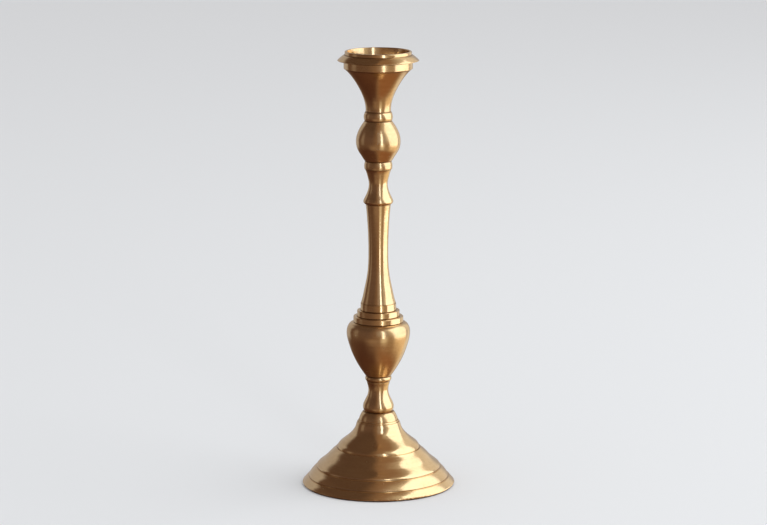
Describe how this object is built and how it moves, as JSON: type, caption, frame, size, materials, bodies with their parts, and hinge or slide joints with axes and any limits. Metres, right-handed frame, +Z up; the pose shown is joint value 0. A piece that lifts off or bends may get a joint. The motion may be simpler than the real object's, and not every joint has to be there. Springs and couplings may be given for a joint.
{
  "type": "candlestick",
  "caption": "Tall turned brass candlestick: stepped bell foot, urn and ball knops on a tapering column, trumpet candle cup and lift-off drip pan with an upright rim.",
  "frame": {"origin": "on the table, on the axis of the candlestick", "axes": "+Z up along the axis of turning; the object is the same all round, so +X and +Y are free"},
  "size_m": [0.133, 0.133, 0.381],
  "materials": {
    "antique_brass": "satin turned brass, aged to a warm brown gold",
    "plated_steel": "zinc plated, dull",
    "felt": "dark brown wool felt"
  },
  "bodies": {
    "candlestick": {"base_felt_ring": "felt", "base_bell": "antique_brass", "lower_spool": "antique_brass", "urn_knop": "antique_brass", "column": "antique_brass", "upper_spool": "antique_brass", "ball_knop": "antique_brass", "neck_ring": "antique_brass", "candle_cup": "antique_brass", "base_washer": "plated_steel", "base_lock_washer": "plated_steel", "base_nut": "plated_steel", "tie_rod": "plated_steel"},
    "drip_pan": {"drip_pan": "antique_brass"}
  },
  "joints": [
    {"name": "drip_pan_lift", "type": "slide", "parent": "candlestick", "child": "drip_pan", "axis": [0, 0, 1], "range_m": [0, 0.03]}
  ]
}
